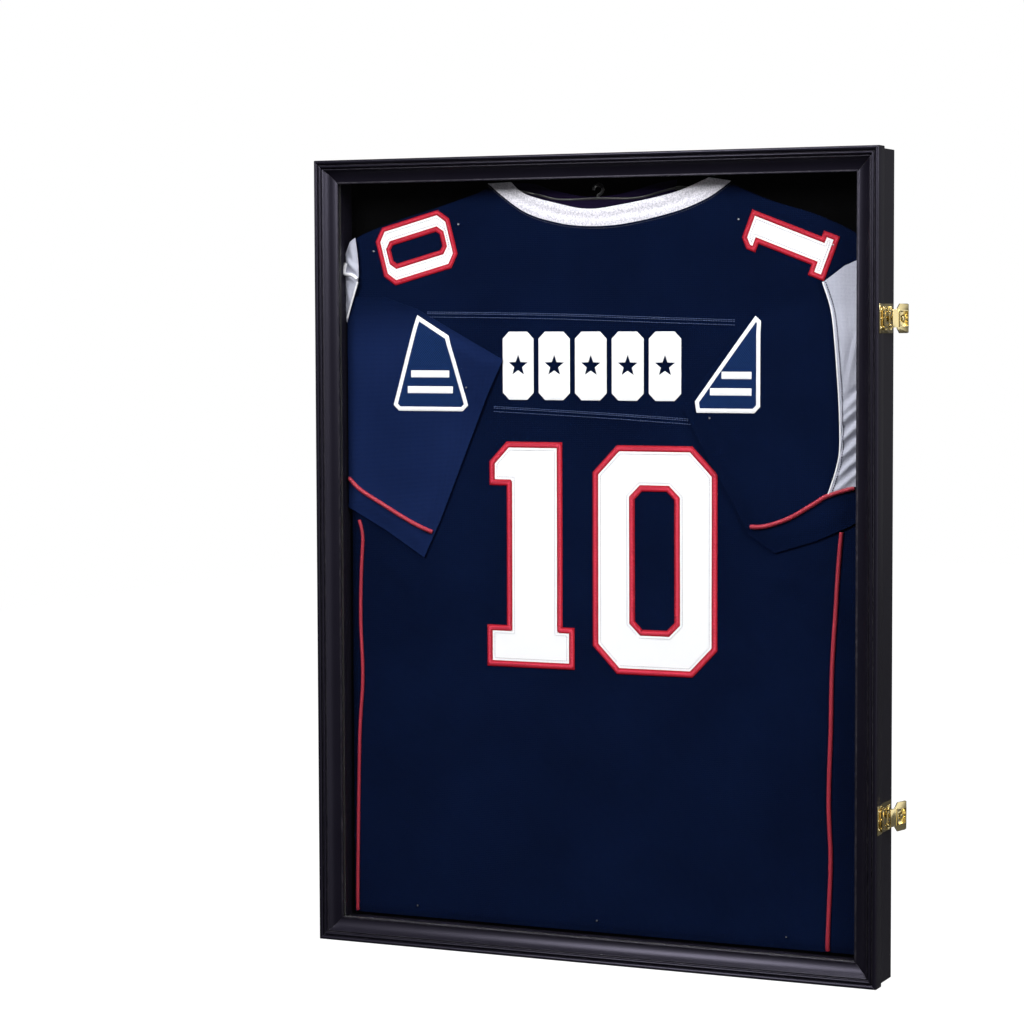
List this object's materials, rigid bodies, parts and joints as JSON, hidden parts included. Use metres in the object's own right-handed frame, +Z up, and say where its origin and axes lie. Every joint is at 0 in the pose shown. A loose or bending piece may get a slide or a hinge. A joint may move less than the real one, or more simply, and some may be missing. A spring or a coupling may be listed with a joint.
{
  "type": "jersey display frame",
  "caption": "Shallow wall-hung black display case with a moulded glazed door on left hinges, brass draw latches at the right, and a navy jersey pinned to black felt inside.",
  "frame": {"origin": "on the wall plane, midway between the wall bracket's two screws", "axes": "+Z up, the front faces -Y, the wall lies at +Y, the latches are at +X"},
  "size_m": [0.62, 0.0848, 0.8004],
  "materials": {
    "satin_black_frame": "satin black foil over moulded fibreboard",
    "black_board": "matt black fibreboard",
    "clear_acrylic": "clear polished sheet",
    "black_felt": "black felt over a soft board",
    "navy_jersey": "knitted polyester",
    "black_wire": "black coated wire",
    "polished_brass": "polished, brass plated",
    "bright_steel": "bright zinc plated"
  },
  "bodies": {
    "wall_side": {"wall_bracket": "bright_steel", "wall_screw_left": "bright_steel", "wall_screw_right": "bright_steel"},
    "case": {"box_rail_top": "satin_black_frame", "box_rail_bottom": "satin_black_frame", "box_rail_left": "satin_black_frame", "box_rail_right": "satin_black_frame", "back_panel": "black_board", "felt_board": "black_felt", "wire_hanger": "black_wire", "jersey_chest_layer": "navy_jersey", "jersey_back_layer": "navy_jersey", "jersey_sleeve_left": "navy_jersey", "jersey_sleeve_right": "navy_jersey", "pin_01": "bright_steel", "pin_02": "bright_steel", "pin_03": "bright_steel", "pin_04": "bright_steel", "pin_05": "bright_steel", "pin_06": "bright_steel", "pin_07": "bright_steel", "pin_08": "bright_steel", "pin_09": "bright_steel", "pin_10": "bright_steel", "case_bracket": "bright_steel", "case_screw_left": "bright_steel", "case_screw_right": "bright_steel", "hinge_leaf_box_upper": "polished_brass", "hinge_leaf_box_lower": "polished_brass", "hinge_pin_upper": "bright_steel", "hinge_pin_lower": "bright_steel", "latch_base_upper": "polished_brass", "latch_base_lower": "polished_brass", "latch_lever_pin_upper": "polished_brass", "latch_lever_pin_lower": "polished_brass"},
    "door": {"door_rail_top": "satin_black_frame", "door_rail_bottom": "satin_black_frame", "door_rail_left": "satin_black_frame", "door_rail_right": "satin_black_frame", "door_pane": "clear_acrylic", "pane_retainer_top": "black_board", "pane_retainer_bottom": "black_board", "pane_retainer_left": "black_board", "pane_retainer_right": "black_board", "hinge_leaf_door_upper": "polished_brass", "hinge_leaf_door_lower": "polished_brass", "latch_keeper_upper": "polished_brass", "latch_keeper_lower": "polished_brass"},
    "latch_lever_upper": {"latch_lever_upper": "polished_brass", "latch_loop_pin_upper": "polished_brass"},
    "latch_loop_upper": {"latch_loop_upper": "polished_brass"},
    "latch_lever_lower": {"latch_lever_lower": "polished_brass", "latch_loop_pin_lower": "polished_brass"},
    "latch_loop_lower": {"latch_loop_lower": "polished_brass"}
  },
  "joints": [
    {"name": "case_lift", "type": "slide", "parent": "wall_side", "child": "case", "axis": [0, 0, 1], "range_m": [0, 0.024]},
    {"name": "door_swing", "type": "hinge", "parent": "case", "child": "door", "pos_m": [-0.303, -0.0425, -0.3921], "axis": [0, 0, -1], "range_deg": [0, 175]},
    {"name": "latch_lever_upper", "type": "hinge", "parent": "case", "child": "latch_lever_upper", "pos_m": [0.3038, -0.0375, -0.1541], "axis": [0, 0, -1], "range_deg": [0, 100]},
    {"name": "latch_loop_upper", "type": "hinge", "parent": "latch_lever_upper", "child": "latch_loop_upper", "pos_m": [0.303, -0.0331, -0.1541], "axis": [0, 0, -1], "range_deg": [-100, 0]},
    {"name": "latch_lever_lower", "type": "hinge", "parent": "case", "child": "latch_lever_lower", "pos_m": [0.3038, -0.0375, -0.6301], "axis": [0, 0, -1], "range_deg": [0, 100]},
    {"name": "latch_loop_lower", "type": "hinge", "parent": "latch_lever_lower", "child": "latch_loop_lower", "pos_m": [0.303, -0.0331, -0.6301], "axis": [0, 0, -1], "range_deg": [-100, 0]}
  ],
  "couplings": [
    {"joint": "latch_loop_upper", "follows": "latch_lever_upper", "ratio": -1},
    {"joint": "latch_loop_lower", "follows": "latch_lever_lower", "ratio": -1}
  ]
}
